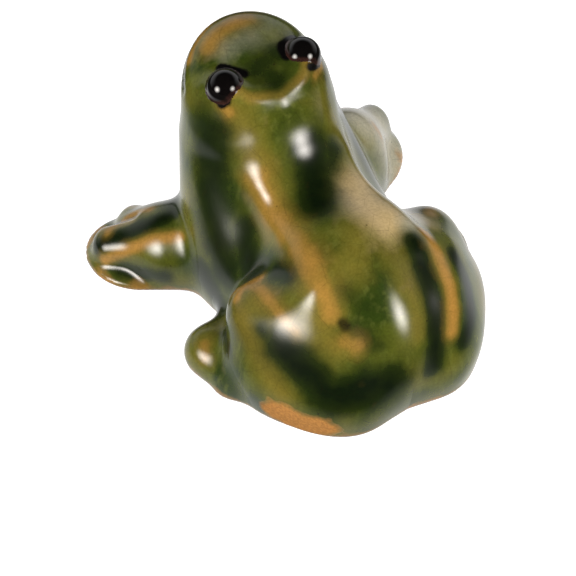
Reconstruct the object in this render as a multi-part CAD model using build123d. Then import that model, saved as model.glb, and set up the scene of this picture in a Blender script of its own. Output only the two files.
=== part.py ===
from build123d import *
import math
import os

# Frog figurine of glazed earthenware, sitting with its head raised.
# Millimetres, +Z up, the frog faces -Y and its left side is +X.
# The ground is z = 0 and the origin lies under the middle of its bounding box.

# Rump: a round dome at the back, cut flat where it stands
rump_y = 8.7
rump_z = 4.9
rump_half_width = 12.2
rump_half_length = 12.9
rump_half_height = 15.0
rump_tilt = 8

# Chest and neck: a round cone that leans forward as it rises
chest_y = -6.5
chest_z = 3.6
chest_radius = 12.4
neck_lean = 5.9
neck_rise = 14.5
neck_radius = 9.0

# Head: a flattened egg on the neck, with its snout tilted up
head_back = 1.6
head_rise = 4.6
head_half_width = 8.2
head_half_length = 11.3
head_half_height = 5.1
head_tilt = 28

# Rounding where the three masses of the body run together
throat_rounding = 3.0
back_rounding = 5.0

# Hollow inside the body, open to the kiln's air through a vent in the base
wall = 2.5
vent_diameter = 4.0

# Depth that each luted piece is pressed into the soft clay of the body
lute_depth = 0.8

# Eyes: beads on two low mounds of the head
eye_half_spacing = 5.0
eye_forward = 2.0
eye_rise = 0.4
eye_radius = 2.2
eye_half_height = 1.7
mound_half_spacing = 4.0
mound_forward = 1.1
mound_sink = 2.2
mound_radius = 3.8

# Thigh: a tall fat egg turned across the corner of the rump, with a round knee in front
thigh_sink = 5.3
thigh_back = 2.3
thigh_z = 2.5
thigh_half_width = 8.0
thigh_half_length = 11.2
thigh_half_height = 13.6
thigh_turn = 34
knee_out = 5.3
knee_forward = 6.2
knee_rise = 7.1
knee_radius = 2.8

# Hind foot: a bent lump of clay below the knee
foot_out = 8.4
foot_forward = 8.0
foot_z = 1.6
foot_radius = 2.7
heel_back = 4.3
heel_radius = 2.5
instep_in = 4.4
instep_forward = 1.8
instep_radius = 2.2

# Front leg: a dome on the side of the chest, a thick shin, an inner toe and a flared sole
leg_sink = 0.6
leg_forward = 6.3
leg_turn = 47
wrist_z = 2.0
wrist_half_width = 5.0
wrist_half_length = 5.4
wrist_half_height = 5.2
shin_turn = 8
shin_reach = 7.0
shin_z = 3.6
shin_radius = 4.1
shin_tip_radius = 2.5
toe_turn = -33
toe_start = 1.2
toe_reach = 6.6
toe_radius = 2.8
toe_tip_radius = 2.0
toe_sink = 0.5
sole_reach = 4.1
sole_half_width = 5.8
sole_half_length = 6.6
sole_half_height = 2.0

# Right front leg: as the left, but heaped thicker
right_leg_ratio = 1.45


def ellipsoid(half_width, half_length, half_height):
    return scale(Sphere(1), by=(half_width, half_length, half_height))


def round_cone(start, start_radius, end, end_radius):
    """Two balls and the cone that touches both."""
    axis = Vector(*end) - Vector(*start)
    slope = math.asin((start_radius - end_radius) / axis.length)

    def on_ball(height, radius, angle):
        return Vector(radius * math.cos(angle), height + radius * math.sin(angle))

    low = -math.pi / 2
    high = math.pi / 2
    bottom = on_ball(0, start_radius, low)
    start_touch = on_ball(0, start_radius, slope)
    end_touch = on_ball(axis.length, end_radius, slope)
    top = on_ball(axis.length, end_radius, high)
    outline = (
        ThreePointArc(bottom, on_ball(0, start_radius, (low + slope) / 2), start_touch)
        + Line(start_touch, end_touch)
        + ThreePointArc(end_touch, on_ball(axis.length, end_radius, (slope + high) / 2), top)
        + Line(top, bottom)
    )
    solid = revolve(Plane.XZ * make_face(outline), Axis.Z)
    return Plane(origin=start, z_dir=axis) * solid


def above(height, shape):
    """The part of a shape that lies over a level plane."""
    return split(shape, bisect_by=Plane.XY.offset(height), keep=Keep.TOP)


def merge(first, second, rounding):
    """Joins two masses and fills the crease between them."""
    whole = first + second
    return fillet(new_edges(first, second, combined=whole), rounding)


neck_top = (0, chest_y - neck_lean, chest_z + neck_rise)
head_place = Pos(0, neck_top[1] + head_back, neck_top[2] + head_rise) * Rot(-head_tilt, 0, 0)


def rump_form(inset):
    egg = ellipsoid(rump_half_width - inset, rump_half_length - inset, rump_half_height - inset)
    return Pos(0, rump_y, rump_z) * Rot(-rump_tilt, 0, 0) * egg


def neck_form(inset):
    return round_cone((0, chest_y, chest_z), chest_radius - inset, neck_top, neck_radius - inset)


def head_form(inset):
    egg = ellipsoid(head_half_width - inset, head_half_length - inset, head_half_height - inset)
    return head_place * egg


def head_top(x, y):
    """Height of the head's top over the middle of the head, in the head's own frame."""
    return head_half_height * math.sqrt(1 - (x / head_half_width) ** 2 - (y / head_half_length) ** 2)


def on_head(x, forward, lift):
    """A place over the top of the head, in the head's own frame."""
    return head_place * Pos(x, -forward, head_top(x, -forward) + lift)


def mounds_form(inset):
    ball = Sphere(mound_radius - inset)
    return [on_head(side * mound_half_spacing, mound_forward, -mound_sink) * ball for side in (-1, 1)]


def body_form():
    """Head, chest and rump as one smooth mass."""
    trunk = merge(neck_form(0), rump_form(0), back_rounding)
    return above(0, merge(trunk, head_form(0), throat_rounding) + mounds_form(0))


def body_seat():
    """The body as far as luted pieces are pressed into it."""
    masses = rump_form(lute_depth) + neck_form(lute_depth) + head_form(lute_depth)
    return above(0, masses + mounds_form(lute_depth))


def body_hollow():
    return above(wall, rump_form(wall) + neck_form(wall))


thigh_x = rump_half_width - thigh_sink
thigh_y = rump_y + thigh_back


def thigh_form():
    egg = ellipsoid(thigh_half_width, thigh_half_length, thigh_half_height)
    thigh = Pos(thigh_x, thigh_y, thigh_z) * Rot(0, 0, thigh_turn) * egg
    knee = Pos(thigh_x + knee_out, thigh_y - knee_forward, thigh_z + knee_rise) * Sphere(knee_radius)
    return above(0, thigh + knee)


def hind_foot_form():
    x = thigh_x + foot_out
    y = thigh_y - foot_forward
    middle = (x, y, foot_z)
    heel = (x, y + heel_back, heel_radius / 2)
    instep = (x - instep_in, y - instep_forward, foot_z)
    back = round_cone(middle, foot_radius, heel, heel_radius)
    front = round_cone(middle, foot_radius, instep, instep_radius)
    return above(0, back + front)


def front_leg_form():
    place = Pos(chest_radius - leg_sink, chest_y - leg_forward, 0) * Rot(0, 0, leg_turn)
    shin_top = (0, 0, shin_z)
    shin_tip = (0, -shin_reach, shin_tip_radius - toe_sink)
    toe_top = (0, -toe_start, shin_z)
    toe_tip = (0, -toe_reach, toe_tip_radius - toe_sink)
    wrist = Pos(0, 0, wrist_z) * ellipsoid(wrist_half_width, wrist_half_length, wrist_half_height)
    shin = Rot(0, 0, shin_turn) * round_cone(shin_top, shin_radius, shin_tip, shin_tip_radius)
    toe = Rot(0, 0, toe_turn) * round_cone(toe_top, toe_radius, toe_tip, toe_tip_radius)
    sole = Pos(0, -sole_reach, 0) * ellipsoid(sole_half_width, sole_half_length, sole_half_height)
    return above(0, place * (wrist + shin + toe + sole))


def eye_form():
    bead = ellipsoid(eye_radius, eye_radius, eye_half_height)
    return on_head(eye_half_spacing, eye_forward, eye_rise) * bead


seat = body_seat()
thigh = thigh_form()
leg = front_leg_form()
thick_leg = scale(leg, by=(1, 1, right_leg_ratio))
pairs = {
    "thigh": (thigh, thigh),
    "hind_foot": (hind_foot_form() - thigh, hind_foot_form() - thigh),
    "front_leg": (leg, thick_leg),
    "eye": (eye_form(), eye_form()),
}

vent = Pos(0, rump_y, 0) * Cylinder(vent_diameter / 2, 3 * wall)
body = body_form() - body_hollow() - vent
pieces = {}
for name, (left, right) in pairs.items():
    pieces["left_" + name] = left - seat
    pieces["right_" + name] = mirror(right - seat, about=Plane.YZ)
    body = body - pieces["left_" + name] - pieces["right_" + name]
pieces["body_shell"] = body

os.makedirs("parts", exist_ok=True)
for node, shape in pieces.items():
    export_step(shape, f"parts/{node}.step")
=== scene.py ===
import math
import bpy
import numpy as np
from mathutils import Matrix, Vector


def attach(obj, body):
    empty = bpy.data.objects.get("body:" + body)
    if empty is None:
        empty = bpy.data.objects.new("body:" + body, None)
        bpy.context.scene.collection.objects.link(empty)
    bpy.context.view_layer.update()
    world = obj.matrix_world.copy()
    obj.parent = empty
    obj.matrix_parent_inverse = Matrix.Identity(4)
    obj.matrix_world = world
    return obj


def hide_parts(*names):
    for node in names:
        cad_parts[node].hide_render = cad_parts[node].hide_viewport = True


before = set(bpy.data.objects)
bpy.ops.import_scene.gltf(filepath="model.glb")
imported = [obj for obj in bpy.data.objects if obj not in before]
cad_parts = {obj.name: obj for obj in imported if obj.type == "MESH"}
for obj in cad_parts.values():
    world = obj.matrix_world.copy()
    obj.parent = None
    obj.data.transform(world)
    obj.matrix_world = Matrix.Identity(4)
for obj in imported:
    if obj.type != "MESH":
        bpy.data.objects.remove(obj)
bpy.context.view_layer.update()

# Body shell
# Trunk, neck and head are one hollow form of buff earthenware, pinched up and paddled smooth.
# The ridges down the back and the brow are pushed out by thumb, and the mouth line is pressed in.
MM = 0.001
CELL = 0.4
GROUND_EDGE = 0.6
SHELL_WALL = 2.5
VENT_RADIUS = 2.0

RUMP_MIDDLE = (0.0, 8.7, 4.9)
RUMP_HALF = (12.2, 12.9, 14.0)
RUMP_TILT = -8.0
CHEST_MIDDLE = (0.0, -6.5, 3.6)
CHEST_RADIUS = 12.4
NECK_TOP = (0.0, -11.5, 16.8)
NECK_RADIUS = 9.6
HEAD_MIDDLE = (0.0, -13.4, 23.1)
HEAD_HALF = (8.2, 8.2, 5.5)
HEAD_TILT = -37.0
MOUND_FOOT = (4.2, -10.9, 24.5)
MOUND_TOP = (4.9, -10.8, 26.0)
MOUND_RADII = (3.2, 2.3)
BACK_FILLET = 6.0
THROAT_FILLET = 3.0
MOUND_FILLET = 2.0


def egg(p, middle, half, tilt=0.0, turn=0.0, fullness=2.0):
    """Distance from points p to an egg of clay, tipped about X and then turned about Z, in degrees.
    A fullness above 2 flattens its sides and top and leaves a rounded shoulder between them."""
    a = math.radians(tilt)
    c = math.radians(turn)
    tip = np.array([[1, 0, 0], [0, math.cos(a), -math.sin(a)], [0, math.sin(a), math.cos(a)]])
    yaw = np.array([[math.cos(c), -math.sin(c), 0], [math.sin(c), math.cos(c), 0], [0, 0, 1]])
    q = np.abs((p - np.array(middle)) @ (yaw @ tip)) / np.array(half) + 1e-6
    reach = (q ** fullness).sum(-1) ** (1 / fullness)
    steep = np.linalg.norm((q / reach[..., None]) ** (fullness - 1) / np.array(half), axis=-1)
    return (reach - 1) / steep


def roll(p, start, end, start_radius, end_radius):
    """Distance from points p to a tapered roll of clay with round ends."""
    along = np.array(end) - np.array(start)
    length = np.linalg.norm(along)
    along = along / length
    q = p - np.array(start)
    height = q @ along
    side = np.linalg.norm(q - height[..., None] * along, axis=-1)
    lean = (start_radius - end_radius) / length
    upright = math.sqrt(1 - lean * lean)
    place = height * upright - side * lean
    cone = side * upright + height * lean - start_radius
    low_ball = np.hypot(side, height) - start_radius
    high_ball = np.hypot(side, height - length) - end_radius
    return np.where(place < 0, low_ball, np.where(place > length * upright, high_ball, cone))


def luted(a, b, fillet):
    """Two forms joined, with wet clay smoothed into the corner between them."""
    overlap = np.maximum(fillet - np.abs(a - b), 0) / fillet
    return np.minimum(a, b) - overlap * overlap * fillet / 4


def route(points, steps=4):
    """A smooth line through a few chosen points."""
    given = np.array(points, float)
    padded = np.vstack([2 * given[0] - given[1], given, 2 * given[-1] - given[-2]])
    line = []
    for a, b, c, d in zip(padded, padded[1:], padded[2:], padded[3:]):
        for t in np.arange(steps) / steps:
            line.append((2 * b + (c - a) * t + (2 * a - 5 * b + 4 * c - d) * t ** 2
                         + (3 * b - a - 3 * c + d) * t ** 3) / 2)
    return np.array(line + [given[-1]])


def stroke(p, line, width):
    """One on the line, fading softly to nothing a few widths away."""
    reach = 3 * width
    close = np.all((p > line.min(0) - reach) & (p < line.max(0) + reach), axis=-1)
    q = p[close]
    gap = np.full(len(q), 1e6)
    for a, b in zip(line[:-1], line[1:]):
        run = b - a
        share = np.clip((q - a) @ run / (run @ run), 0, 1)
        gap = np.minimum(gap, np.linalg.norm(q - a - share[:, None] * run, axis=-1))
    press = np.zeros(p.shape[:-1])
    press[close] = np.exp(-(gap / width) ** 2)
    return press


def both_sides(p):
    """Points folded onto the left side, for forms that are alike on both."""
    return np.concatenate([np.abs(p[..., :1]), p[..., 1:]], axis=-1)


RIDGE = route([(5.2, -1.8, 18.9), (5.1, -0.4, 18.0), (5.2, 1.8, 17.6), (5.6, 6.4, 18.0),
               (6.1, 9.8, 18.1), (6.5, 12.5, 17.5)])
RIDGE_HEIGHT = 1.1
RIDGE_WIDTH = 2.6
BROW = route([(4.6, -9.2, 27.6), (3.0, -7.9, 26.8), (0.0, -7.2, 26.4)])
NAPE = route([(3.0, -4.4, 24.0), (0.0, -4.2, 24.2)])
SPINE = route([(0.0, 0.5, 20.0), (0.0, 3.5, 18.8), (0.0, 8.0, 18.6)])
TAIL = route([(0.0, 12.0, 18.4), (0.0, 16.0, 16.6), (0.0, 19.0, 13.0), (0.0, 21.0, 7.0)])
FLANK = route([(8.6, -8.0, 18.5), (9.4, -2.5, 14.5), (10.0, 2.0, 12.0)])
MOUTH = route([(7.8, -15.4, 24.2), (5.9, -18.2, 26.1), (3.2, -19.7, 27.2), (0.0, -20.4, 27.3)])

# How far each line stands out of the clay, or is pressed in, and how broad it is
RELIEF = ((RIDGE, RIDGE_HEIGHT, RIDGE_WIDTH), (BROW, 1.1, 1.2), (NAPE, 0.8, 3.4), (SPINE, 1.3, 5.0),
          (TAIL, 0.6, 3.0), (FLANK, -0.5, 3.0), (MOUTH, -0.25, 0.6))


def trunk(p, inset=0.0):
    """Rump, chest and neck, and the head tipped back on them."""
    rump = egg(p, RUMP_MIDDLE, RUMP_HALF, RUMP_TILT)
    chest = roll(p, CHEST_MIDDLE, NECK_TOP, CHEST_RADIUS, NECK_RADIUS)
    head = egg(p, HEAD_MIDDLE, HEAD_HALF, HEAD_TILT)
    return luted(luted(rump, chest, BACK_FILLET), head, THROAT_FILLET) + inset


def body(p):
    q = both_sides(p)
    clay = luted(trunk(p), roll(q, MOUND_FOOT, MOUND_TOP, *MOUND_RADII), MOUND_FILLET)
    for line, height, width in RELIEF:
        clay = clay - height * stroke(q, line, width)
    return clay


def stood(clay, p):
    """The form with its underside pressed flat on the bat."""
    return -luted(-clay, p[..., 2], GROUND_EDGE)


def slope(field, p, step=0.05):
    """Which way, and how fast, a form's distance grows at points p."""
    axes = np.eye(3) * step
    return np.stack([field(p + axis) - field(p - axis) for axis in axes], -1) / (2 * step)


def skin(name, field, low, high, cell=CELL):
    """Closed mesh of the surface where field is zero: a point in each grid cell that it crosses."""
    sides = [np.arange(a - 2 * cell, b + 3 * cell, cell) for a, b in zip(low, high)]
    grid = np.stack(np.meshgrid(*sides, indexing="ij"), -1)
    value = field(grid)
    inside = value < 0
    total = np.zeros(grid.shape)
    count = np.zeros(value.shape)
    loops = []
    for axis in range(3):
        first = tuple(slice(0, -1) if k == axis else slice(None) for k in range(3))
        second = tuple(slice(1, None) if k == axis else slice(None) for k in range(3))
        corner = np.argwhere(inside[first] != inside[second])
        here = value[first][tuple(corner.T)]
        there = value[second][tuple(corner.T)]
        point = grid[tuple(corner.T)]
        point[:, axis] += cell * here / (here - there)
        ring = []
        for back in ((0, 0), (1, 0), (1, 1), (0, 1)):
            box = corner.copy()
            box[:, (axis + 1) % 3] -= back[0]
            box[:, (axis + 2) % 3] -= back[1]
            np.add.at(total, tuple(box.T), point)
            np.add.at(count, tuple(box.T), 1)
            ring.append(np.ravel_multi_index(tuple(box.T), value.shape))
        ring = np.stack(ring, 1)
        ring[here > 0] = ring[here > 0][:, ::-1]
        loops.append(ring)
    used = np.flatnonzero(count)
    point = total.reshape(-1, 3)[used] / count.reshape(-1)[used][:, None]
    number = np.zeros(count.size, int)
    number[used] = np.arange(len(used))
    for _ in range(3):
        way = slope(field, point)
        move = field(point)[:, None] * way / ((way * way).sum(-1, keepdims=True) + 1e-6)
        point = point - np.clip(move, -cell, cell)
    mesh = bpy.data.meshes.new(name)
    mesh.from_pydata((point * MM).tolist(), [], number[np.concatenate(loops)].tolist())
    mesh.validate()
    mesh.shade_smooth()
    piece = bpy.data.objects.new(name, mesh)
    bpy.context.scene.collection.objects.link(piece)
    return piece


def carried(piece, node):
    """The piece moves with the frog and stands in for its CAD node, which is hidden."""
    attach(piece, "root")
    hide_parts(node)


def shell(p):
    """The body without its hollow and the vent that let the kiln's steam out."""
    hollow = np.maximum(trunk(p, SHELL_WALL), SHELL_WALL - p[..., 2])
    vent = np.hypot(p[..., 0], p[..., 1] - RUMP_MIDDLE[1]) - VENT_RADIUS
    vent = np.maximum(vent, p[..., 2] - 2 * SHELL_WALL)
    return np.maximum(stood(body(p), p), -np.minimum(hollow, vent))


glazed = []
body_shell = skin("body_shell_skin", shell, (-13.5, -22.0, 0.0), (13.5, 22.0, 30.0))
carried(body_shell, "body_shell")
glazed.append(body_shell)

# Thighs
# Two fat folded haunches of the same clay, luted to the sides of the rump with slip.
# Each swells from a round knee in front to a high back edge that runs into the ridge.
HAUNCH_MIDDLE = (6.4, 11.7, 0.5)
HAUNCH_HALF = (7.2, 9.3, 15.2)
HAUNCH_TURN = 34.0
HAUNCH_FULLNESS = 2.5
SWELL = 0.15
SWELL_HEIGHT = 4.5
KNEE = (11.2, 6.2, 9.8)
KNEE_RADIUS = 2.9
KNEE_FILLET = 3.5
THIGH_FILLET = 1.8
LUTE_TUCK = 1.0


def thigh(p):
    wide = 1 + SWELL * np.exp(-((p[..., 2:] - SWELL_HEIGHT) / SWELL_HEIGHT) ** 2)
    q = np.concatenate([(p[..., :2] - HAUNCH_MIDDLE[:2]) / wide + HAUNCH_MIDDLE[:2], p[..., 2:]], axis=-1)
    haunch = egg(q, HAUNCH_MIDDLE, HAUNCH_HALF, 0.0, HAUNCH_TURN, HAUNCH_FULLNESS)
    haunch = haunch - RIDGE_HEIGHT * stroke(p, RIDGE, RIDGE_WIDTH)
    return luted(haunch, egg(p, KNEE, (KNEE_RADIUS, KNEE_RADIUS, KNEE_RADIUS)), KNEE_FILLET)


def luted_on(name, under, limb, fillet, low, high, dive=0.2, cell=CELL):
    """A limb's own skin: the joined surface as far as the fillet reaches, then diving under."""
    def joined(p):
        below = under(p)
        part = limb(p)
        past = part - below - fillet
        clay = luted(below, part, fillet) + dive * np.maximum(past, 0)
        return np.maximum(stood(clay, p), past - LUTE_TUCK)
    return skin(name, joined, low, high, cell)


def across(limb):
    """The same limb on the frog's right."""
    return lambda p: limb(p * np.array([-1, 1, 1]))


def luted_pair(name, under, left, right, fillet, low, high):
    """The left and right pieces of a pair, and the form of the frog with both on it."""
    for side, word, limb in ((1, "left", left), (-1, "right", right)):
        corners = np.array([low, high]) * np.array([side, 1, 1])
        piece = luted_on(f"{word}_{name}_skin", under, limb, fillet, corners.min(0), corners.max(0))
        carried(piece, f"{word}_{name}")
        glazed.append(piece)
    return lambda p: luted(luted(under(p), left(p), fillet), right(p), fillet)


with_thighs = luted_pair("thigh", body, thigh, across(thigh), THIGH_FILLET,
                         (-4.0, -3.0, 0.0), (18.0, 24.0, 20.0))

# Hind feet
# A small folded roll of the same clay pushed in under each knee and smoothed down with slip.
# Its toes are hidden below the haunch, so only a round lump shows.
FOOT_HEEL = (15.0, 7.3, 1.0)
FOOT_MIDDLE = (15.3, 3.0, 1.6)
FOOT_INSTEP = (11.0, 1.2, 1.8)
FOOT_RADIUS = 2.7
HEEL_RADIUS = 2.5
INSTEP_RADIUS = 2.2
BEND_FILLET = 2.0
FOOT_FILLET = 2.2


def hind_foot(p):
    front = roll(p, FOOT_INSTEP, FOOT_MIDDLE, INSTEP_RADIUS, FOOT_RADIUS)
    return luted(front, roll(p, FOOT_MIDDLE, FOOT_HEEL, FOOT_RADIUS, HEEL_RADIUS), BEND_FILLET)


with_feet = luted_pair("hind_foot", with_thighs, hind_foot, across(hind_foot), FOOT_FILLET,
                       (5.0, -6.0, 0.0), (22.0, 15.0, 10.0))

# Front legs
# Short legs splayed outward, each a domed wrist with two toes pinched from a flared foot.
# The right one was heaped a little thicker than the left.
WRIST = (11.8, -12.8, 2.0)
WRIST_HALF = (5.0, 5.4, 5.2)
SHIN_TOP = (11.5, -12.6, 3.6)
SHIN_TIP = (17.6, -16.8, 2.0)
SHIN_RADII = (4.1, 2.5)
INNER_TOE = (13.4, -19.2, 1.6)
TOE_RADII = (2.8, 2.0)
FLARE = (14.8, -15.6, 0.2)
FLARE_HALF = (5.8, 6.6, 1.8)
FLARE_TURN = 42.0
TOE_GROOVE = route([(14.6, -16.6, 5.4), (16.4, -18.4, 3.6), (17.2, -20.0, 0.6)])
GROOVE_DEPTH = 0.35
GROOVE_WIDTH = 0.8
TOE_FILLET = 3.0
WRIST_FILLET = 1.6
FLARE_FILLET = 1.2
LEG_FILLET = 2.5
RIGHT_THICKNESS = 1.45


def front_leg(p):
    shin = roll(p, SHIN_TOP, SHIN_TIP, *SHIN_RADII)
    inner = roll(p, SHIN_TOP, INNER_TOE, *TOE_RADII)
    foot = luted(luted(shin, inner, TOE_FILLET), egg(p, WRIST, WRIST_HALF), WRIST_FILLET)
    foot = luted(foot, egg(p, FLARE, FLARE_HALF, 0.0, FLARE_TURN), FLARE_FILLET)
    return foot + GROOVE_DEPTH * stroke(p, TOE_GROOVE, GROOVE_WIDTH)


def right_front_leg(p):
    return front_leg(p / np.array([-1, 1, RIGHT_THICKNESS]))


frog = luted_pair("front_leg", with_feet, front_leg, right_front_leg, LEG_FILLET,
                  (5.0, -24.0, 0.0), (23.0, -4.0, 14.0))

# Eyes
# Two small beads of clay pressed onto the eye mounds and painted with thick black glaze.
# The black thins to a purple brown where it bleeds into the glaze round each bead.
EYE = (5.0, -10.6, 27.3)
EYE_HALF = (2.1, 2.1, 2.1)
EYE_FILLET = 0.2
EYE_CELL = 0.2
EYE_ROOM = 3.5
BLEED_WIDTH = 0.25


def eye(p):
    return egg(p, EYE, EYE_HALF)


beads = []
for side, word, limb in ((1, "left", eye), (-1, "right", across(eye))):
    middle = np.array(EYE) * (side, 1, 1)
    bead = luted_on(f"{word}_eye_bead", frog, limb, EYE_FILLET, middle - EYE_ROOM, middle + EYE_ROOM,
                    dive=1.0, cell=EYE_CELL)
    carried(bead, f"{word}_eye")
    beads.append(bead)
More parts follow.
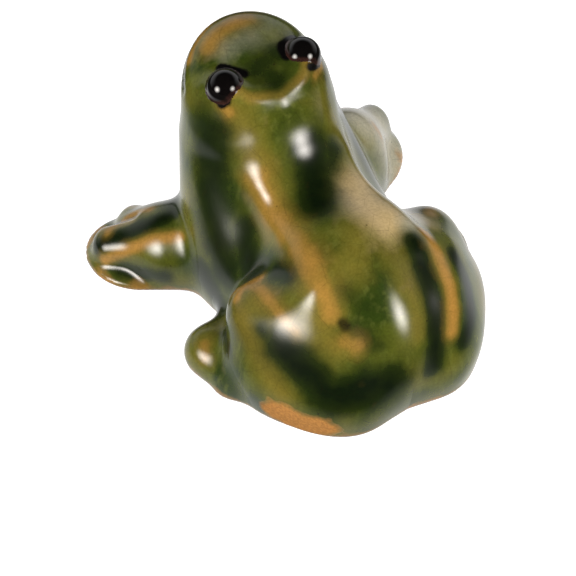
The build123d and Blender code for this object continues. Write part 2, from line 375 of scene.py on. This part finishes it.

# Glaze
# After the first firing the frog was brushed by hand with lead-type glazes over the buff clay.
# Copper green and iron amber run together, pool dark in hollows and break amber on edges.
# Among the strokes below are painted shade, painted dark reflections and painted pale reflections, each
# marked where it stands.
STROKES = {
    "brown": [
        (2.4, 1.0, [(13.8, 8.0, 11.9), (14.0, 9.8, 11.1), (13.9, 12.1, 9.6), (13.5, 14.3, 7.8),
                    (13.2, 15.6, 6.4)]),
        (1.5, 0.8, [(-3.6, 13.3, 17.9), (-2.6, 17.4, 15.5), (-1.6, 20.4, 11.9)]),
        (2.8, 0.7, [(2.8, 13.2, 18.3), (-1.0, 10.0, 19.2), (-3.3, 18.0, 14.4)]),
        (2.4, 1.0, [(6.3, -7.6, 26.3), (5.6, -4.5, 23.0), (4.8, -2.9, 20.0), (4.6, 0.0, 18.0)]),
        (2.4, 0.6, [(-5.0, -6.0, 24.0), (-5.6, -2.5, 19.0)]),
        (2.4, 0.8, [(-13.8, 6.0, 11.0), (-14.0, 10.5, 8.0), (-12.8, 14.5, 5.5)]),
        (3.0, 0.9, [(12.0, 8.0, 13.6), (10.6, 13.0, 13.6), (8.0, 16.0, 13.0)]),
    ],
    "pale": [
        (3.0, 1.1, [(-3.5, 2.9, 18.1), (-3.3, 6.7, 19.0), (-3.8, 9.5, 18.9)]),
        (2.2, 0.5, [(-8.5, 4.0, 15.0), (-9.5, 8.5, 15.0)]),
        (0.9, 0.7, [(12.6, -18.3, 4.5), (13.4, -20.0, 2.4)]),
        (0.9, 0.7, [(15.2, -15.8, 5.4), (17.6, -17.6, 3.2)]),
        (2.2, 0.4, [(3.8, -20.3, 16.9), (6.0, -18.6, 12.0), (5.0, -17.8, 5.0)]),
        (2.2, 0.4, [(-5.0, -19.5, 17.5), (-3.0, -18.9, 10.0)]),
    ],
    "dark": [
        # Painted dark reflection: the dish between the eyes, where the glaze mirrors the dark room.
        (2.5, 0.85, [(-1.8, -11.1, 28.3), (0.5, -10.7, 28.1), (-0.2, -8.9, 27.4)]),
        # Painted dark reflection: the saddle of the spine, where the glaze mirrors the dark room above.
        (3.0, 1.15, [(-0.8, -1.9, 21.8), (0.0, 0.8, 19.8), (1.4, 3.5, 19.3)]),
        (2.2, 0.8, [(-3.6, -2.1, 20.2), (-2.0, 0.5, 19.6)]),
        (3.6, 0.95, [(7.8, -9.2, 23.2), (8.8, -7.5, 17.0), (10.1, -4.8, 11.9), (10.8, -1.4, 8.7)]),
        # Painted shade: the hollow of the flank in front of the haunch.
        (2.8, 0.95, [(7.9, -1.7, 13.6), (9.0, 1.0, 11.5), (9.4, 4.0, 12.5)]),
        (2.0, 0.6, [(3.2, 16.6, 15.9), (4.4, 14.6, 17.0)]),
        (1.8, 1.1, [(-5.4, 12.7, 17.6), (-5.3, 15.2, 16.3), (-4.8, 18.2, 13.4), (-3.9, 20.3, 10.4),
                    (-2.7, 21.7, 7.2)]),
        (1.6, 1.1, [(-10.2, 14.0, 13.8), (-10.6, 16.2, 10.9), (-9.6, 18.4, 8.9), (-7.4, 20.6, 7.6)]),
        (3.0, 1.15, [(12.1, 13.8, 11.3), (10.5, 17.2, 9.4), (9.2, 19.7, 7.2)]),
        (3.6, 1.15, [(9.2, 19.7, 7.2), (6.3, 20.9, 7.7), (3.1, 21.5, 7.6)]),
        (1.4, 1.1, [(19.8, -16.7, 3.3), (17.1, -15.2, 5.1), (13.9, -13.2, 7.3), (11.4, -12.4, 8.5)]),
        (1.8, 0.9, [(9.3, -16.0, 6.7), (11.5, -12.5, 8.4)]),
        # Painted shade: the low cove between the front leg and the haunch.
        (2.6, 1.1, [(12.1, -4.5, 5.5), (12.6, -0.3, 3.4)]),
        (1.5, 1.0, [(15.8, 7.0, 6.6), (14.6, 3.6, 6.6)]),
        (1.5, 0.9, [(18.4, -13.2, 1.5), (15.1, -8.8, 3.0)]),
        (2.0, 0.7, [(5.6, 17.4, 14.2), (3.4, 19.4, 12.4)]),
        (1.6, 1.0, [(8.3, 8.8, 16.8), (8.7, 6.5, 15.3)]),
        (1.5, 0.8, [(13.1, 11.1, 12.1), (12.9, 14.0, 10.6)]),
        (0.7, 1.0, [(-7.6, -16.1, 24.7), (-5.9, -18.2, 26.1), (-3.2, -19.7, 27.2), (0.0, -20.4, 27.3),
                    (3.2, -19.7, 27.2), (5.9, -18.2, 26.1), (7.6, -16.1, 24.7)]),
        (3.0, 0.8, [(-8.4, -9.0, 20.0), (-9.8, -6.0, 14.0), (-11.5, -2.0, 5.0)]),
        (1.8, 0.7, [(-13.4, 3.0, 8.0), (-15.4, 6.5, 6.4)]),
    ],
    "ochre": [
        (1.7, 0.9, [(-1.5, -17.0, 29.5), (0.6, -16.9, 29.6), (3.0, -16.6, 29.2), (4.1, -16.0, 28.8)]),
        (1.0, 0.8, [(6.6, -8.4, 26.7), (6.3, -7.6, 26.3)]),
        (1.0, 0.8, [(-5.2, -7.4, 26.7), (-6.6, -8.4, 26.7)]),
        (2.3, 0.85, [(5.2, -2.9, 19.5), (5.0, -0.8, 17.5), (5.1, 1.8, 16.8), (5.5, 6.4, 17.8),
                     (6.1, 9.8, 18.1), (6.5, 12.5, 17.5)]),
        (1.7, 0.9, [(6.5, 12.5, 17.5), (6.7, 15.6, 15.6)]),
        (1.5, 0.7, [(6.3, 17.9, 13.2), (5.4, 18.6, 12.6)]),
        (1.25, 1.1, [(-7.8, 11.7, 17.1), (-7.9, 14.7, 15.7), (-7.4, 17.7, 12.8), (-6.1, 20.1, 9.7)]),
        (0.9, 1.0, [(13.2, 5.6, 12.4), (11.6, 4.9, 12.8), (10.1, 5.4, 13.7)]),
        (1.0, 0.8, [(13.2, 3.4, 11.0), (11.1, 6.3, 13.7), (11.3, 9.5, 14.6), (10.4, 14.1, 13.4)]),
        (0.9, 0.9, [(18.1, -17.0, 4.5), (14.8, -17.7, 4.4), (13.1, -15.6, 6.9)]),
        (0.9, 1.1, [(19.6, -15.2, 2.2), (17.1, -13.3, 4.5), (14.7, -11.4, 6.6), (12.3, -9.6, 7.5)]),
        (1.2, 0.8, [(16.8, 3.9, 4.5), (17.2, 5.0, 3.6)]),
        (1.3, 0.8, [(-16.8, 3.4, 4.5), (-17.2, 5.5, 3.4)]),
        (1.2, 0.7, [(-13.0, 4.6, 12.0), (-11.2, 6.8, 13.6)]),
        (1.1, 0.8, [(-15.7, -11.3, 7.9), (-15.0, -12.0, 8.8)]),
        (0.8, 0.9, [(-6.3, -16.7, 27.0), (-3.8, -18.4, 28.2), (0.0, -19.7, 28.3), (3.8, -18.4, 28.2),
                    (6.3, -16.7, 27.0)]),
        (0.7, 0.9, [(-6.5, -17.8, 24.2), (-3.2, -20.1, 24.9), (0.0, -20.6, 25.7), (3.2, -20.1, 24.9),
                    (6.5, -17.8, 24.2)]),
    ],
    "grey_glaze_and_painted_reflection": [
        # Painted reflection: the pale grey of the right front foot stands for white mirrored in its glaze.
        (4.5, 1.1, [(-14.1, -13.3, 10.4), (-15.3, -12.8, 9.4), (-17.8, -11.9, 1.9)]),
        (1.6, 0.7, [(-5.8, 10.8, 18.0), (-8.4, 8.0, 15.6)]),
        # Painted sheen: a faint grey wash over the top of the head.
        (3.4, 0.32, [(2.4, -14.6, 29.0), (-2.0, -13.8, 28.8)]),
    ],
    "spot": [
        (0.7, 1.1, [(5.9, 16.6, 14.7), (5.7, 16.9, 14.4)]),
    ],
    "black": [
        (0.8, 1.0, [(4.4, -12.6, 28.0), (2.6, -10.6, 28.3)]),
        (0.8, 1.0, [(5.8, -8.8, 27.2), (6.7, -8.7, 26.9)]),
        (0.8, 1.0, [(-5.0, -12.6, 27.8), (-3.2, -12.0, 28.6), (-2.9, -10.6, 28.0)]),
        (0.7, 1.0, [(-4.4, -8.6, 27.4), (-6.0, -8.7, 27.0)]),
    ],
    "bare": [
        (2.2, 1.0, [(13.4, 15.0, 2.6), (12.2, 17.2, 2.2), (10.6, 19.2, 2.0)]),
    ],
}
EDGE_STEP = 1.0
DEEP_INSIDE = -0.8
SOLE = 0.15


def settled(line):
    """Points of a brush line moved square onto the frog's surface."""
    for _ in range(4):
        way = slope(frog, line)
        line = line - frog(line)[:, None] * way / (way * way).sum(-1, keepdims=True)
    return line


for strokes in STROKES.values():
    strokes[:] = [(width, weight, settled(route(points))) for width, weight, points in strokes]


def brushed(piece):
    """How much of each glaze lies on every point of a piece, painted shade and reflections among them, and
    how sharply the clay turns there.
    """
    flat = np.zeros(len(piece.data.vertices) * 3)
    piece.data.vertices.foreach_get("co", flat)
    p = flat.reshape(-1, 3) / MM
    depth = frog(p)
    cover = {}
    for finish, strokes in STROKES.items():
        cover[finish] = np.zeros(len(p))
        for width, weight, points in strokes:
            cover[finish] = np.maximum(cover[finish], weight * stroke(p, points, width))
    around = [frog(p + step) for step in np.vstack([np.eye(3), -np.eye(3)]) * EDGE_STEP]
    cover["edge"] = (np.mean(around, axis=0) - depth) / EDGE_STEP ** 2 * 6
    cover["bare"][(depth < DEEP_INSIDE) | (p[:, 2] < SOLE)] = 1.0
    for finish, amount in cover.items():
        layer = piece.data.attributes.new(finish, "FLOAT", "POINT")
        layer.data.foreach_set("value", amount.astype(np.float32))


def colour(code):
    """A colour written as sRGB hex, in the linear values that shaders use."""
    shares = [int(code[k:k + 2], 16) / 255 for k in (1, 3, 5)]
    return [c / 12.92 if c <= 0.04045 else ((c + 0.055) / 1.055) ** 2.4 for c in shares] + [1.0]


def add(owner, kind, feeds, **settings):
    """One node with its settings. A feed is a value, a socket, or a node whose live output is meant."""
    made = owner.node_tree.nodes.new(kind)
    for name, value in settings.items():
        setattr(made, name, value)
    for socket, source in feeds.items():
        if isinstance(source, bpy.types.Node):
            source = next(out for out in source.outputs if out.enabled)
        if isinstance(source, bpy.types.NodeSocket):
            owner.node_tree.links.new(source, made.inputs[socket])
        else:
            made.inputs[socket].default_value = source
    return made


def blank(name):
    """An empty node material, and the object's own coordinates in millimetres."""
    material = bpy.data.materials.new(name)
    material.use_nodes = True
    material.node_tree.nodes.clear()
    place = add(material, "ShaderNodeTexCoord", {}).outputs["Object"]
    return material, add(material, "ShaderNodeVectorMath", {0: place, "Scale": 1 / MM}, operation="SCALE")


# Lead-type glaze, brushed in green and amber over earthenware: deep mottled colour under a clear
# glassy skin, with runs, fine specks and thin craze lines, amber where it is thin on the edges.
glaze, at = blank("brushed_lead_glaze_on_earthenware")
clouds = add(glaze, "ShaderNodeTexNoise", {"Vector": at, "Scale": 1 / 6.0, "Detail": 1.5})
mottle = add(glaze, "ShaderNodeTexNoise", {"Vector": at, "Scale": 1 / 2.2, "Detail": 2.5, "Roughness": 0.45})
drawn = add(glaze, "ShaderNodeVectorMath", {0: at, 1: (1 / 0.9, 1 / 0.9, 1 / 8.0)}, operation="MULTIPLY")
runs = add(glaze, "ShaderNodeTexNoise", {"Vector": drawn, "Scale": 1.0, "Detail": 2.0})
grain = add(glaze, "ShaderNodeTexNoise", {"Vector": at, "Scale": 1 / 0.3, "Detail": 2.0})

some = add(glaze, "ShaderNodeMapRange", {"Value": clouds, "From Min": 0.34, "From Max": 0.5})
shade = add(glaze, "ShaderNodeMix", {0: some, 6: colour("#28360a"), 7: colour("#494f14")}, data_type="RGBA")
some = add(glaze, "ShaderNodeMapRange", {"Value": clouds, "From Min": 0.5, "From Max": 0.7})
shade = add(glaze, "ShaderNodeMix", {0: some, 6: shade, 7: colour("#625f22")}, data_type="RGBA")
some = add(glaze, "ShaderNodeMapRange", {"Value": runs, "From Min": 0.5, "From Max": 0.75, "To Max": 0.4})
shade = add(glaze, "ShaderNodeMix", {0: some, 6: shade, 7: colour("#656b2e")}, data_type="RGBA")
turn = add(glaze, "ShaderNodeAttribute", {}, attribute_name="edge").outputs["Fac"]
thin = add(glaze, "ShaderNodeMath", {0: mottle, 1: 0.5, 2: turn}, operation="MULTIPLY_ADD")
some = add(glaze, "ShaderNodeMapRange", {"Value": thin, "From Min": 0.8, "From Max": 1.6, "To Max": 0.6})
shade = add(glaze, "ShaderNodeMix", {0: some, 6: shade, 7: colour("#8a6a2c")}, data_type="RGBA")
some = add(glaze, "ShaderNodeMapRange", {"Value": turn, "From Min": -0.15, "From Max": -0.8, "To Max": 0.7})
shade = add(glaze, "ShaderNodeMix", {0: some, 6: shade, 7: colour("#141d05")}, data_type="RGBA")

wander = add(glaze, "ShaderNodeMath", {0: mottle, 1: 0.5, 2: -0.25}, operation="MULTIPLY_ADD")
coats = (("brown", 0.12, 1.1, 0.85, "#716324"), ("pale", 0.1, 1.0, 0.95, "#bda576"),
         ("grey_glaze_and_painted_reflection", 0.12, 0.9, 0.9, "#a5a18c"),
         ("dark", 0.06, 0.8, 0.9, "#1e2c07"), ("dark", 0.45, 1.15, 0.95, "#051003"),
         ("ochre", 0.08, 0.95, 0.75, "#7e6426"), ("ochre", 0.45, 1.25, 0.8, "#a87b38"),
         ("spot", 0.2, 0.8, 0.9, "#241f07"), ("black", 0.4, 0.75, 1.0, "#050404"))
# The dark coats also lay painted shade and painted dark reflections, and the grey coat painted pale
# reflections.
for finish, low, high, most, code in coats:
    cover = add(glaze, "ShaderNodeAttribute", {}, attribute_name=finish).outputs["Fac"]
    some = add(glaze, "ShaderNodeMath", {0: cover, 1: wander}, operation="ADD")
    some = add(glaze, "ShaderNodeMapRange", {"Value": some, "From Min": low, "From Max": high,
                                             "To Max": most})
    shade = add(glaze, "ShaderNodeMix", {0: some, 6: shade, 7: colour(code)}, data_type="RGBA")

height = add(glaze, "ShaderNodeSeparateXYZ", {0: at}).outputs["Z"]
low_edge = add(glaze, "ShaderNodeMath", {0: mottle, 1: 2.6, 2: -0.2}, operation="MULTIPLY_ADD")
low_edge = add(glaze, "ShaderNodeMath", {0: low_edge, 1: height}, operation="SUBTRACT")
some = add(glaze, "ShaderNodeMapRange", {"Value": low_edge, "From Min": -0.2, "From Max": 1.0})
shade = add(glaze, "ShaderNodeMix", {0: some, 6: shade, 7: colour("#9a7034")}, data_type="RGBA")
cover = add(glaze, "ShaderNodeAttribute", {}, attribute_name="bare").outputs["Fac"]
some = add(glaze, "ShaderNodeMath", {0: wander, 1: 2.0, 2: cover}, operation="MULTIPLY_ADD")
bare = add(glaze, "ShaderNodeMapRange", {"Value": some, "From Min": 0.3, "From Max": 0.7})
clay = add(glaze, "ShaderNodeMix", {0: grain, 6: colour("#98662c"), 7: colour("#bd8745")}, data_type="RGBA")
shade = add(glaze, "ShaderNodeMix", {0: bare, 6: shade, 7: clay}, data_type="RGBA")

some = add(glaze, "ShaderNodeMapRange", {"Value": grain, "From Min": 0.3, "From Max": 0.7, "To Min": 0.78})
speck = add(glaze, "ShaderNodeCombineXYZ", {0: some, 1: some, 2: some})
shade = add(glaze, "ShaderNodeMix", {0: 1.0, 6: shade, 7: speck}, data_type="RGBA", blend_type="MULTIPLY")
crack = add(glaze, "ShaderNodeTexVoronoi", {"Vector": at, "Scale": 1 / 3.6}, feature="DISTANCE_TO_EDGE")
some = add(glaze, "ShaderNodeMapRange", {"Value": crack, "From Min": 0.012, "From Max": 0.0, "To Max": 0.25})
shade = add(glaze, "ShaderNodeMix", {0: some, 6: shade, 7: colour("#1a1506")}, data_type="RGBA")
hole = add(glaze, "ShaderNodeTexVoronoi", {"Vector": at, "Scale": 1 / 2.8}, feature="F1")
some = add(glaze, "ShaderNodeMapRange", {"Value": hole, "From Min": 0.06, "From Max": 0.03, "To Max": 0.6})
shade = add(glaze, "ShaderNodeMix", {0: some, 6: shade, 7: colour("#171204")}, data_type="RGBA")

waves = add(glaze, "ShaderNodeTexNoise", {"Vector": at, "Scale": 1 / 2.4, "Detail": 1.0})
swell = add(glaze, "ShaderNodeBump", {"Height": waves, "Strength": 0.2, "Distance": 0.05 * MM})
pores = add(glaze, "ShaderNodeBump", {"Height": grain, "Strength": 0.1, "Distance": 0.03 * MM,
                                      "Normal": swell})
rough = add(glaze, "ShaderNodeMapRange", {"Value": bare, "To Min": 0.2, "To Max": 0.8})
gloss = add(glaze, "ShaderNodeBsdfPrincipled", {"Base Color": shade, "Roughness": rough, "IOR": 1.45,
                                                "Normal": pores})
add(glaze, "ShaderNodeOutputMaterial", {"Surface": gloss})
for piece in glazed:
    brushed(piece)
    piece.data.materials.append(glaze)

# Black manganese glaze, flooded on thick: near black and wet looking, brown where it thins out.
black, at = blank("flooded_black_manganese_glaze")
for bead in beads:
    flat = np.zeros(len(bead.data.vertices) * 3)
    bead.data.vertices.foreach_get("co", flat)
    rim = np.exp(-(frog(flat.reshape(-1, 3) / MM) / BLEED_WIDTH) ** 2)
    bead.data.attributes.new("rim", "FLOAT", "POINT").data.foreach_set("value", rim.astype(np.float32))
    bead.data.materials.append(black)
stain = add(black, "ShaderNodeTexNoise", {"Vector": at, "Scale": 1 / 0.8, "Detail": 3.0})
rim = add(black, "ShaderNodeAttribute", {}, attribute_name="rim").outputs["Fac"]
some = add(black, "ShaderNodeMath", {0: rim, 1: stain}, operation="MULTIPLY")
some = add(black, "ShaderNodeMapRange", {"Value": some, "From Min": 0.2, "From Max": 0.6})
shade = add(black, "ShaderNodeMix", {0: stain, 6: colour("#030303"), 7: colour("#0a0707")}, data_type="RGBA")
shade = add(black, "ShaderNodeMix", {0: some, 6: shade, 7: colour("#2c1a16")}, data_type="RGBA")
sheen = add(black, "ShaderNodeBsdfPrincipled", {"Base Color": shade, "Roughness": 0.05, "IOR": 1.45})
add(black, "ShaderNodeOutputMaterial", {"Surface": sheen})

# Floor
# A plain sheet of matt white paper under the frog, which glows evenly to the camera so that it stays white.
# It takes the soft shadow round the feet, and to every other ray it is dark grey, so it throws little light
# back into the glaze.
# In the glaze's reflections it shows a painted pool of light on its far side.
SHEET_SIZE = 6.0
PAPER_GLOW = 0.75
PAINTED_POOL_MIDDLE = (-12.0, -22.0, 0.0)
PAINTED_POOL_FULL = 42.0
PAINTED_POOL_END = 58.0

bpy.ops.mesh.primitive_plane_add(size=SHEET_SIZE)
floor = bpy.context.object
floor.name = "floor"
paper, at = blank("matt_white_paper")
fibre = add(paper, "ShaderNodeTexNoise", {"Vector": at, "Scale": 1 / 1.5, "Detail": 3.0})
path = add(paper, "ShaderNodeLightPath", {})
mirrored = add(paper, "ShaderNodeMath", {0: path.outputs["Is Glossy Ray"],
                                         1: path.outputs["Is Transmission Ray"]}, operation="ADD")
# Painted pool of light: in reflections the paper glows on the frog's far side and stays dark grey on the near
# side.
reach = add(paper, "ShaderNodeVectorMath", {0: at, 1: PAINTED_POOL_MIDDLE}, operation="DISTANCE")
pool = add(paper, "ShaderNodeMapRange", {"Value": reach.outputs["Value"], "From Min": PAINTED_POOL_END,
                                         "From Max": PAINTED_POOL_FULL})
painted_pool_glow = add(paper, "ShaderNodeMath", {0: mirrored, 1: pool}, operation="MULTIPLY")
white = add(paper, "ShaderNodeMix", {0: fibre, 6: colour("#c4c4c4"), 7: colour("#cccccc")}, data_type="RGBA")
sheet = add(paper, "ShaderNodeMix", {0: path.outputs["Is Camera Ray"], 6: colour("#3c3c3a"), 7: white},
            data_type="RGBA")
lit = add(paper, "ShaderNodeBsdfDiffuse", {"Color": sheet})
fill = add(paper, "ShaderNodeMath", {0: path.outputs["Is Camera Ray"], 1: PAPER_GLOW, 2: painted_pool_glow},
           operation="MULTIPLY_ADD")
bright = add(paper, "ShaderNodeEmission", {"Strength": fill})
both = add(paper, "ShaderNodeAddShader", {0: lit, 1: bright})
add(paper, "ShaderNodeOutputMaterial", {"Surface": both})
floor.data.materials.append(paper)

# Lamps
# Two round softboxes stand low on either side of the camera, brightest in the middle.
# The room behind them is dark, and a pale wall stands on the far side of the table.
LAMP_DISTANCE = 0.35
LAMP_SIZE = 0.26
LAMP_STRENGTH = 6.2
LAMP_FALLOFF = 1.4
CAMERA_SIDE = (0.48, 0.88, 0.0)


def softbox(name, azimuth, elevation):
    lamp = bpy.data.lights.new(name, "AREA")
    lamp.shape = "DISK"
    lamp.size = LAMP_SIZE
    lamp.energy = 1.0
    lamp.use_nodes = True
    lamp.node_tree.nodes.clear()
    over = add(lamp, "ShaderNodeNewGeometry", {}).outputs["Parametric"]
    offset = add(lamp, "ShaderNodeVectorMath", {0: over, 1: (0.5, 0.5, 0.0)}, operation="DISTANCE")
    fade = add(lamp, "ShaderNodeMapRange", {"Value": offset.outputs["Value"], "From Min": 0.5,
                                            "From Max": 0.0})
    fade = add(lamp, "ShaderNodeMath", {0: fade, 1: LAMP_FALLOFF}, operation="POWER")
    fade = add(lamp, "ShaderNodeMath", {0: fade, 1: LAMP_STRENGTH}, operation="MULTIPLY")
    glow = add(lamp, "ShaderNodeEmission", {"Color": colour("#fff9f2"), "Strength": fade})
    add(lamp, "ShaderNodeOutputLight", {"Surface": glow})
    holder = bpy.data.objects.new(name, lamp)
    bpy.context.scene.collection.objects.link(holder)
    a = math.radians(azimuth)
    e = math.radians(elevation)
    way = Vector((math.sin(a) * math.cos(e), -math.cos(a) * math.cos(e), math.sin(e)))
    holder.location = way * LAMP_DISTANCE
    holder.rotation_euler = way.to_track_quat("Z", "Y").to_euler()


softbox("left_softbox", 97.0, 22.0)
softbox("right_softbox", 203.0, 23.0)
world = bpy.data.worlds.new("studio")
bpy.context.scene.world = world
world.use_nodes = True
world.node_tree.nodes.clear()
toward = add(world, "ShaderNodeTexCoord", {}).outputs["Generated"]
rise = add(world, "ShaderNodeSeparateXYZ", {0: toward}).outputs["Z"]
toward_lens = add(world, "ShaderNodeVectorMath", {0: toward, 1: CAMERA_SIDE}, operation="DOT_PRODUCT")
far = add(world, "ShaderNodeMapRange", {"Value": toward_lens.outputs["Value"], "From Min": 0.1,
                                        "From Max": -0.5, "To Max": 0.8})
low = add(world, "ShaderNodeMapRange", {"Value": rise, "From Min": 0.62, "From Max": 0.36})
wall = add(world, "ShaderNodeMath", {0: far, 1: low}, operation="MULTIPLY")
ray = add(world, "ShaderNodeLightPath", {})
mirrored = add(world, "ShaderNodeMath", {0: ray.outputs["Is Glossy Ray"],
                                         1: ray.outputs["Is Transmission Ray"]}, operation="ADD")
seen = add(world, "ShaderNodeMath", {0: mirrored, 1: wall, 2: ray.outputs["Is Camera Ray"]},
           operation="MULTIPLY_ADD", use_clamp=True)
dim = add(world, "ShaderNodeMix", {0: mirrored, 6: colour("#acacac"), 7: colour("#2c2c2c")}, data_type="RGBA")
room = add(world, "ShaderNodeMix", {0: seen, 6: dim, 7: colour("#ffffff")}, data_type="RGBA")
light = add(world, "ShaderNodeBackground", {"Color": room})
add(world, "ShaderNodeOutputWorld", {"Surface": light})

# Camera
# A long lens looks down from behind the frog's left haunch, rolled a little.
# Its place puts a chosen point of the frog on the pixel where the photograph has it.
CAMERA_TARGET = (0.0, -4.7, -4.5)
AZIMUTH = 151.34
ELEVATION = 49.02
ROLL = 1.64
DISTANCE = 356.15
SENSOR_WIDTH = 36.0
FOCAL_PIXELS = 2989.5
FRAME_PIXELS = 576
TARGET_PIXEL = (295.08, 290.63)
PIXELS_PER_MM = 8.394

camera_data = bpy.data.cameras.new("camera")
camera_data.sensor_width = SENSOR_WIDTH
camera_data.lens = FOCAL_PIXELS / FRAME_PIXELS * SENSOR_WIDTH
camera_data.clip_start = 0.01
camera = bpy.data.objects.new("camera", camera_data)
bpy.context.scene.collection.objects.link(camera)
a = math.radians(AZIMUTH)
e = math.radians(ELEVATION)
right = Vector((math.cos(a), math.sin(a), 0))
back = Vector((math.sin(a) * math.cos(e), -math.cos(a) * math.cos(e), math.sin(e)))
up = back.cross(right)
spin = math.radians(ROLL)
image_right = right * math.cos(spin) - up * math.sin(spin)
image_up = right * math.sin(spin) + up * math.cos(spin)
place = Vector(CAMERA_TARGET) + back * DISTANCE
place -= image_right * (TARGET_PIXEL[0] - FRAME_PIXELS / 2) / PIXELS_PER_MM
place += image_up * (TARGET_PIXEL[1] - FRAME_PIXELS / 2) / PIXELS_PER_MM
facing = Matrix((image_right, image_up, back)).transposed().to_4x4()
camera.matrix_world = Matrix.Translation(place * MM) @ facing
bpy.context.scene.camera = camera
bpy.context.scene.view_settings.view_transform = "Standard"
